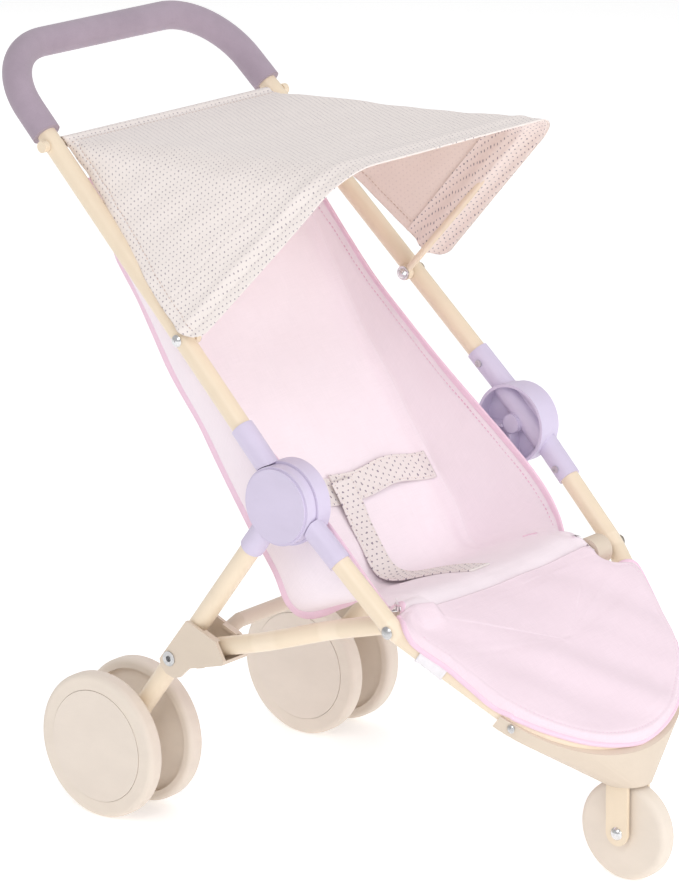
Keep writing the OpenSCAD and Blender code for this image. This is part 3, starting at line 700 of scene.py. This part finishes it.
def build_canopy():
    # closer together at the hems and folds
    f = mirrored(joined((0, 0.45, 26), (0.45, 0.93, 40), (0.93, 1, 13)))
    v = joined((0.0, 0.08, 14), (0.08, 0.86, 62), (0.86, FRONT, 34))
    F, V = round_corner(*np.meshgrid(f, v))
    P, s, _ = canopy_surface(F, V)
    UV = canopy_uv(P, s)

    def rear_row(y, z, v_uv):
        """The canopy's first row, moved to y and z."""
        row, uv = P[0].copy(), UV[0].copy()
        row[:, 1], row[:, 2], uv[:, 1] = y, z, v_uv
        return row, uv

    # the sleeve that wraps round the rear rod, and its flap under the top
    sleeve = []
    for a in np.radians(np.linspace(252, 98, 12)):
        y, z = ROD[0] - SLEEVE * np.cos(a), ROD[1] + SLEEVE * np.sin(a)
        sleeve.append(rear_row(y, z, UV[0, :, 1] - SLEEVE * (a - math.pi / 2)))
    flap_v = sleeve[0][1][:, 1]
    flap = [
        rear_row(ROD[0] - 1.1 - 11.5 * g, ROD[1] - 3.6 + 4.9 * g, flap_v - 11.5 * g)
        for g in np.linspace(1, 0.12, 5)
    ]
    rows, uvs = zip(*flap, *sleeve)
    P, UV = np.concatenate([rows, P]), np.concatenate([uvs, UV])
    canopy = surface("canopy", P, UV, [CANOPY_PRINT, CANOPY_REVERSE], 0.8, flip=True)
    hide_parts("canopy_fabric")

    # inside facing along the front edge, printed side in, which stands off round the wire
    F, V = round_corner(*np.meshgrid(f[np.abs(f) < 0.995], np.linspace(0.868, FRONT - 0.004, 34)))
    F = np.clip(F, -0.99, 0.99)
    puff = 6.3 * np.exp(-np.abs((V - 0.996) / np.where(V > 0.996, 0.024, 0.062)) ** 2.4)
    P, s, _ = canopy_surface(F, V, 1.1)
    P = P + (canopy_surface(F, V, 2.1)[0] - P) * puff[..., None]
    facing = surface("canopy_facing", P, canopy_uv(P, s) + 17.0, [CANOPY_FACING], 0.7)

    q = np.linspace(-0.965, 0.965, 260)
    lines = [canopy_seam(q, v, sunk=0.55) for v in (FRONT_SEAM, TUNNEL_SEAM)]
    v = np.linspace(0.07, 1.03, 160)
    for side in (-1, 1):
        _, s, edge = canopy_surface(side * 0.9, v)
        lines.append(canopy_seam(side * (1 - HEM / (np.abs(s) + edge)), v))
    lines.append(canopy_seam(np.linspace(-0.985, 0.985, 200), SLEEVE_SEAM))
    stitching = stitches("canopy_stitching", lines, THREAD_SAND, half=1.0)

    for o in (canopy, facing, stitching):
        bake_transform(o)


build_canopy()


# ---------------------------------------------------------------- seat sling

# rows of station, half width, along and off the frame tubes
# the top edge, which hangs beside the tubes
EDGE = [
    (0, 103, 270, -7.5), (1, 103, 243, -9), (2, 103, 213, -11), (3, 103, 178, -14.5),
    (4, 103, 142, -17), (5, 103, 105, -16), (6, 103, 66, -14), (7, 103, 26, -10.5),
    (8, 103.5, -8, -7.8), (9, 104, -36, -6.4), (10, 104.5, -58, -6.3), (11, 105, -76, -6.2),
    (12, 106, -91, -5.2), (13, 107.8, -101, -2.4), (14, 112.5, -107.5, 3.5),
]
# on the far side the cloth is tucked inside the brace's moulded end
EDGE_FAR = EDGE[:10] + [
    (10, 103, -58, -6.6), (11, 99.5, -76, -8), (12, 93, -90, -8.5), (13, 88.0, -101, -4.5),
    (14, 87.4, -112, 7.5),
]
# the seam where the side walls meet the back and the pan
SEAM = [
    (0, 101, 273, -11.8), (1, 100, 243, -17.5), (2, 99, 211, -25), (3, 98, 171, -34.5),
    (4, 97.5, 128, -46), (5, 97, 90, -52), (6, 97, 50, -61), (7, 97, 14, -68),
    (8, 97, -18, -73.5), (9, 96.5, -40, -80), (10, 95, -52.5, -73), (11, 92.5, -64, -49),
    (12, 90, -78, -22), (13, 88, -94, 1.5), (14, 87.4, -114.5, 8.7),
]
END = 14             # the station where the pan meets the footrest
CASING_SEAM = 8.3    # from the top edge to its stitching
TAPE_FROM, TAPE_TO = 1.2, 11.9    # stations of the ends of the taped seams
BOSS_S, BOSS_R = -111.7, 15.0     # where the brace's moulded end is along the frame, and its radius


def seat_surface(q, g):
    """Seat cloth at station q: g from -1 (near top edge) through the seams at -0.5 and 0.5 to 1."""
    q, g = np.broadcast_arrays(np.asarray(q, float), np.asarray(g, float))
    side, a = np.sign(g), np.abs(g)
    rim = np.where((g > 0)[..., None], curve(EDGE_FAR, q), curve(EDGE, q))
    seam = curve(SEAM, q)
    run = curve(SEAM, np.clip(q + 0.15, 0, END)) - curve(SEAM, np.clip(q - 0.15, 0, END))
    outward = unit(np.stack([-run[..., 2], run[..., 1]], -1))    # in (along, off)

    # the side walls, with a casing at the top edge
    wall = np.clip((a - 0.5) * 2, 0, 1)    # 0 at the seam, 1 at the edge
    height = np.linalg.norm(rim - seam, axis=-1)
    x, s, n = (seam[..., i] + (rim[..., i] - seam[..., i]) * wall for i in range(3))
    below = (1 - wall) * height
    casing = 0.7 * (below < 7) * np.clip(below / 1.5, 0, 1) - 0.5 * ridge(below, CASING_SEAM, 0.8)
    casing = np.where(a > 0.5, casing, 0)
    belly = 3.0 * np.sin(math.pi * wall) * np.clip(height / 40, 0, 1)
    rumple = 0.6 * ripple(s, n * 1.5, 5) * np.sin(math.pi * wall)
    x = x + np.where(a > 0.5, casing + belly + rumple, 0)

    # the back and the pan, bowed a little outwards and soft near the seams
    u = np.clip(a / 0.5, 0, 1)
    across = seam[..., 0] * u
    sag = 3.6 * (1 - u**2) + 1.3 * ridge(u, 0.93, 0.05)
    sag = sag + ripple(s * 0.8, side * across, 7) * 0.75 * (1 - u**6)
    sag = sag + ridge(q, 9.4, 1.0) * 1.1 * np.sin(across * 0.22) * ridge(u, 0.8, 0.3)
    sag = sag * np.clip((END - q) * 1.2, 0.1, 1) * np.clip(q * 2 + 0.2, 0, 1)
    x = np.where(a <= 0.5, across, x)
    s = np.where(a <= 0.5, s + outward[..., 0] * sag, s)
    n = np.where(a <= 0.5, n + outward[..., 1] * sag, n)
    x = x - ridge(a, 0.5, 0.008) * 0.5
    n = n - 6.0 * (1 - np.clip(x / 90, 0, 1) ** 2) * np.clip((q - 11) / 3, 0, 1) ** 2

    # over the moulded end of the near brace, which turns under the cloth
    over = 11.8 * np.sqrt(np.maximum(1 - ((s - BOSS_S) / BOSS_R) ** 2, 0))
    over = over * ramp(x, 80, 89) * (1 - ramp(x, 105.5, 112)) * (side < 0)
    n = np.where(over > 0, higher(n, over, 1.6) - 0.05, n)
    return frame_point(side * x, s, n)


def edge_binding(side):
    q = np.linspace(0, 13.55, 240)
    rim = seat_surface(q, side)
    down = unit(seat_surface(q, side * 0.93) - rim)
    thick = unit(np.cross(tangents(rim), down))
    return rim + down * 1.6, down, thick, oval(2.6, 1.15, 16, 2.6)


def seam_tape(side):
    """A tape that stands out along the corner seam, tapered at its ends."""
    q = np.linspace(TAPE_FROM, TAPE_TO, 220)
    seam = seat_surface(q, side * 0.5)
    to_back = unit(seat_surface(q, side * 0.4) - seam)
    to_rim = unit(seat_surface(q, side * 0.62) - seam)
    outward = unit(-(to_back * 0.35 + to_rim * 0.9))
    t = tangents(seam)
    outward = unit(outward - t * np.sum(outward * t, 1, keepdims=True))
    thick = np.cross(t, outward)
    tilt = 0.12 * ripple(q * 30, q * 0, 3 + side)[:, None]
    size = np.clip(np.minimum(q - TAPE_FROM, TAPE_TO - q) / 0.7, 0.25, 1)
    profiles = np.stack([oval(2.7 * k, 0.62, 14, 2.6) + np.array([[2.4 * k, 0]]) for k in size])
    return seam, unit(outward + thick * tilt), thick, profiles


def casing_stitches(side):
    """The line below the top edge, where the wall is tall enough for it."""
    q = np.linspace(0, 13.55, 240)
    height = np.linalg.norm(curve(EDGE, q) - curve(SEAM, q), axis=-1)
    points = seat_surface(q, side * (1 - 0.5 * CASING_SEAM / np.maximum(height, 12)))
    points = points[height > 12]
    return points, np.tile([1.0, 0, 0], (len(points), 1))


def build_seat():
    near_seam = [0.44, 0.455, 0.47, 0.48, 0.49, 0.496]
    wall = [0.5, 0.504, 0.515, 0.54, 0.58, 0.63, 0.69, 0.75, 0.8,
            0.84, 0.87, 0.89, 0.905, 0.92, 0.94, 0.96, 0.98, 1.0]
    g = mirrored(np.concatenate([np.linspace(0, 0.44, 26)[:-1], near_seam, wall]))
    q = joined((0, 8.4, 108), (8.4, 10.6, 48), (10.6, END, 48))
    G, Q = np.meshgrid(g, q)
    P = seat_surface(Q, G)
    mid = P.shape[1] // 2
    across = lengths(P, 1)
    across = across - across[:, mid:mid + 1] + 300
    along = lengths(P[:, mid:mid + 1], 0) + np.zeros_like(across)
    UV = np.stack([across, along], -1)
    seat = surface("seat_sling", P, UV, [SEAT_CLOTH], 0.9, flip=True)
    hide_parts("seat_fabric")

    pieces, lines = [], []
    for side, tag in ((-1, "left"), (1, "right")):
        pieces.append(sweep("seat_edge_binding_" + tag, *edge_binding(side), BINDING, "seat_cloth"))
        pieces.append(sweep("seat_seam_tape_" + tag, *seam_tape(side), BINDING, "seat_cloth"))
        lines.append(casing_stitches(side))

    # top hem of the back
    g = np.linspace(-0.47, 0.47, 120)
    top = seat_surface(0.0, g)
    down = unit(seat_surface(0.2, g) - top)
    thick = np.cross(tangents(top), down)
    hem = oval(2.9, 1.2, 16, 2.6)
    pieces.append(sweep("seat_top_binding", top + down * 1.8, down, thick, hem, BINDING, "seat_cloth"))
    lines.append((seat_surface(0.42, g), thick))
    pieces.append(stitches("seat_stitching", lines, THREAD_PINK, half=0.85))
    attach(seat, "main_frame")
    for o in pieces:
        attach(o, "main_frame")


build_seat()


# ---------------------------------------------------------------- footrest

# rows of (parameter, x, forward): down the near side, round the front and up the far side
NEAR_SIDE = [
    (0, -111.5, -6.5), (1, -116.5, -1.0), (2, -120.6, 6), (3, -121.2, 14), (4, -118.8, 22),
    (5, -114.6, 32), (6, -110.4, 42), (7, -104.6, 59), (8, -96.0, 82), (9, -84.0, 100),
    (10, -69.0, 115), (11, -52, 127.2), (12, -34, 135.6), (13, -16, 140.4), (14, 0, 141.8),
]
# the far side mirrors the near one, then turns in beside the brace's moulded end
FAR_NOTCH = [
    (23, 113.2, 32), (24, 113.0, 24), (25, 106.5, 18.5), (26, 96, 15.5), (27, 89.3, 9.5),
    (28, 87.6, -1.5),
]
OUTLINE = NEAR_SIDE + [(28 - k, -x, t) for k, x, t in NEAR_SIDE[-2:5:-1]] + FAR_NOTCH
FOOT_CENTRE = np.array([0.0, 58.0])
FOOT_SEAM = 6.4      # from the outline to the stitching
FOOT_HEIGHT = 9.9    # of the cloth over the bend's plane
EDGE_DROP = 8.0      # how far it turns down at the outline

# the front tube in the bend's plane: a straight run down each side, then a round bend
TUBE_FROM = np.array([120.8, 0.0])
TUBE_TO = np.array([68.0, 134.0])
TUBE_RUN = 144.03
RING_AT, RING_R = (5.4, 42), 92


def tube_gap(x, t):
    """Distance in the bend's plane from the middle of the front tube."""
    x = np.abs(x)
    d = (TUBE_TO - TUBE_FROM) / TUBE_RUN
    w = np.stack([x, t], -1) - TUBE_FROM
    straight = np.abs(w[..., 0] * d[1] - w[..., 1] * d[0])
    ring = np.abs(np.hypot(x - RING_AT[0], t - RING_AT[1]) - RING_R)
    ahead = np.minimum(ring, np.where(w @ d < 95, straight, 1e3))
    return np.where(t < 76, straight, ahead)


def foot_surface(x, t, edge):
    """Height over the bend's plane; edge is the distance from the outline."""
    n = FOOT_HEIGHT - EDGE_DROP * np.exp(-((edge / 2.7) ** 2)) * np.clip((t + 14) / 12, 0, 1)
    # lower where it meets the pan, and a little crowned in front of that
    n = n - 6.0 * np.clip(1 - (x / 90) ** 2, 0, 1) * np.exp(-np.maximum(t, 0) / 30)
    crown = 1.6 * np.clip(1 - (x / 115) ** 2, 0, 1) * np.sin(math.pi * np.clip(t / 142, 0, 1))
    n = n + crown
    # soft slanting creases, deepest towards the front
    crease = 1.5 * np.sin((x * 0.78 - t * 0.55) * 0.105 + 0.7)
    crease = crease + 0.8 * np.sin((x * 0.66 - t * 0.62) * 0.19)
    crease = crease + 0.7 * ripple(x, t, 21)
    front = np.clip((t - 30) / 70, 0, 1)
    n = n + crease * (0.35 + 0.65 * front) * np.clip(edge / 14, 0, 1)
    n = n + 0.25 * ridge(edge, 4.2, 1.4) - 0.55 * ridge(edge, FOOT_SEAM, 0.9)
    # over the tubes, and over the moulded end of the near brace
    n = np.maximum(n, np.sqrt(np.maximum(8.3**2 - tube_gap(x, t)**2, 0)))
    boss = 13.4 * np.sqrt(np.maximum(1 - (t / 17.0) ** 2, 0))
    boss = boss * ramp(-x, 78, 89) * (1 - ramp(-x, 105.5, 113))
    return np.where(boss > 0, higher(n, boss, 1.8) - 0.08, n)


def foot_sheet():
    """The footrest's cloth, as rings that shrink from its outline to its centre."""
    sides = curve(OUTLINE, np.linspace(0, 28, 225))
    back_x = np.linspace(sides[-1, 0], sides[0, 0], 82)[1:-1]
    back = np.stack([back_x, -6.5 + 5.0 * ramp(111.5 + back_x, 0, 30)], 1)
    ring = np.concatenate([sides, back])
    m = len(ring)
    radii = joined((0.03, 0.8, 30), (0.8, 1, 18))
    p = np.array([FOOT_CENTRE + (ring - FOOT_CENTRE) * r for r in radii])
    edge = np.array([np.linalg.norm(row[:, None] - ring[None], axis=-1).min(1) for row in p])
    edge[-1] = 0
    # the back edge is sewn to the seat, so it doesn't droop
    sewn = (p[..., 1] < 6) & (p[..., 0] > -104) & (p[..., 0] < 84)
    edge = np.where(sewn, np.maximum(edge, 12), edge)
    P = front_point(p[..., 0], p[..., 1], foot_surface(p[..., 0], p[..., 1], edge))
    middle = front_point(*FOOT_CENTRE, foot_surface(*FOOT_CENTRE[:, None], np.array([60.0]))[0])
    verts = np.concatenate([P.reshape(-1, 3), [middle]])
    uv = np.concatenate([p.reshape(-1, 2), [FOOT_CENTRE]]) + 200
    faces = grid_faces(len(radii), m, wrap=True).tolist()
    faces += [[len(verts) - 1, j, (j + 1) % m] for j in range(m)]
    return thicken(tidy_normals(make("footrest", verts, faces, uv, [FOOT_CLOTH])), 1.7)


def build_footrest():
    sheet = foot_sheet()
    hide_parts("footrest_fabric")

    # piping round the outside
    q = curve(OUTLINE, np.linspace(0.1, 27.9, 300))
    path = front_point(q[:, 0], q[:, 1], foot_surface(q[:, 0], q[:, 1], np.zeros(len(q))) - 0.4)
    up = unit(front_point(0, 0, 1) - front_point(0, 0, 0))
    across = unit(np.cross(tangents(path), up))
    thick = unit(np.cross(across, tangents(path)))
    piping = sweep("footrest_piping", path, across, thick, oval(1.7, 1.9, 14), BINDING, "seat_cloth")

    # stitching inside the piping
    w = curve(OUTLINE, np.linspace(2.0, 26.0, 240))
    t = tangents(w)
    inward = np.stack([t[:, 1], -t[:, 0]], 1)
    inward = np.where((np.sum(inward * (FOOT_CENTRE - w), 1) > 0)[:, None], inward, -inward)
    w = w + inward * FOOT_SEAM
    height = foot_surface(w[:, 0], w[:, 1], np.full(len(w), FOOT_SEAM))
    line = (front_point(w[:, 0], w[:, 1], height + 0.35), np.tile(up, (len(w), 1)))
    stitching = stitches("footrest_stitching", [line], THREAD_PINK, half=0.75)
    for o in (sheet, piping, stitching):
        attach(o, "main_frame")


def build_loops():
    """White loops that hold the footrest to the tubes."""
    d = unit(TUBE_TO - TUBE_FROM)
    turn = np.linspace(0, TAU, 41)[:-1]
    for side, tag in ((-1, "left"), (1, "right")):
        rows, uvs = [], []
        for run in np.linspace(22.5, 43.5, 22):
            at = TUBE_FROM + d * run
            hem = 0.25 * (abs(run - 33) > 7.8) + 0.1 * math.sin(run * 0.9)
            r = 7.35 + hem + 0.12 * np.sin(turn * 5 + run * 0.3)
            x = at[0] + r * np.cos(turn) * abs(d[1])
            t = at[1] + r * np.cos(turn) * abs(d[0])
            rows.append(front_point(side * x, t, r * np.sin(turn)))
            uvs.append(np.stack([turn * 7.5, np.full_like(turn, run)], 1))
        faces = grid_faces(len(rows), len(turn), wrap=True)
        verts, uv = np.concatenate(rows), np.concatenate(uvs)
        o = make("footrest_loop_" + tag, verts, faces, uv, [LOOP_CLOTH])
        thicken(tidy_normals(o), 0.8)
        if side < 0:
            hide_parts("footrest_loops")
        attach(o, "main_frame")


build_footrest()
build_loops()


# ---------------------------------------------------------------- harness straps, lying in the empty seat

STRAP = 21           # width of the webbing


def strap(name, path, wide, up, node):
    o = sweep(name, path, unit(wide), unit(up), oval(STRAP / 2, 0.75, 26, 5.0), WEBBING, "webbing")
    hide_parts(node)
    lines = [(path + unit(wide) * (STRAP / 2 - 2.0) * k, up) for k in (-1, 1)]
    stitching = stitches(
        name + "_stitching", lines, THREAD_SAND, half=0.95, pitch=2.8, long=1.9, wide=0.2)
    for p in (o, stitching):
        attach(p, "main_frame")


def waist_strap(side, name, node):
    """Half of the belt across the back. The far half lies over the near half in the middle."""
    u = np.linspace(0, 1, 60)
    q = 6.9 - 0.10 * np.sin(math.pi * u * 0.5) + 0.05 * np.sin(u * 9 + side)
    g = side * 0.5 * (92 - 99 * u) / 97
    p = seat_surface(q, g)
    wide = unit(seat_surface(q + 0.2, g) - seat_surface(q - 0.2, g))
    up = unit(np.cross(tangents(p), wide))
    up = np.where(up[:, 1:2] > 0, -up, up)
    overlap = 1.9 * np.clip((u - 0.76) / 0.1, 0, 1) if side > 0 else 0
    lift = 1.5 + 2.4 * np.sin(math.pi * u) ** 2 + overlap
    lift = lift + 0.5 * np.sin(u * 17 + 2 * side)
    strap(name, p + up * lift[:, None], wide, up, node)


def crotch_strap():
    """Up the pan and over the hip, then over the belt."""
    q = np.linspace(12.6, 6.65, 110)
    p = seat_surface(q, 0)
    wide = unit(seat_surface(q, 0.03) - seat_surface(q, -0.03))

    def upward(path):
        up = unit(np.cross(wide, tangents(path)))
        return np.where(up[:, 2:3] < 0, -up, up)

    lift = 1.5 + 4.6 * ramp(-q, -7.6, -7.15) + 2.5 * ridge(q, 9.6, 0.8)
    p = p + upward(p) * lift[:, None]
    # smooth the line, since webbing doesn't follow a tight corner
    for _ in range(50):
        p[1:-1] = (p[:-2] + p[1:-1] * 2 + p[2:]) / 4
    strap("crotch_strap_web", p, wide, upward(p), "crotch_strap")


waist_strap(-1, "waist_strap_near", "waist_strap_left")
waist_strap(1, "waist_strap_far", "waist_strap_right")
crotch_strap()
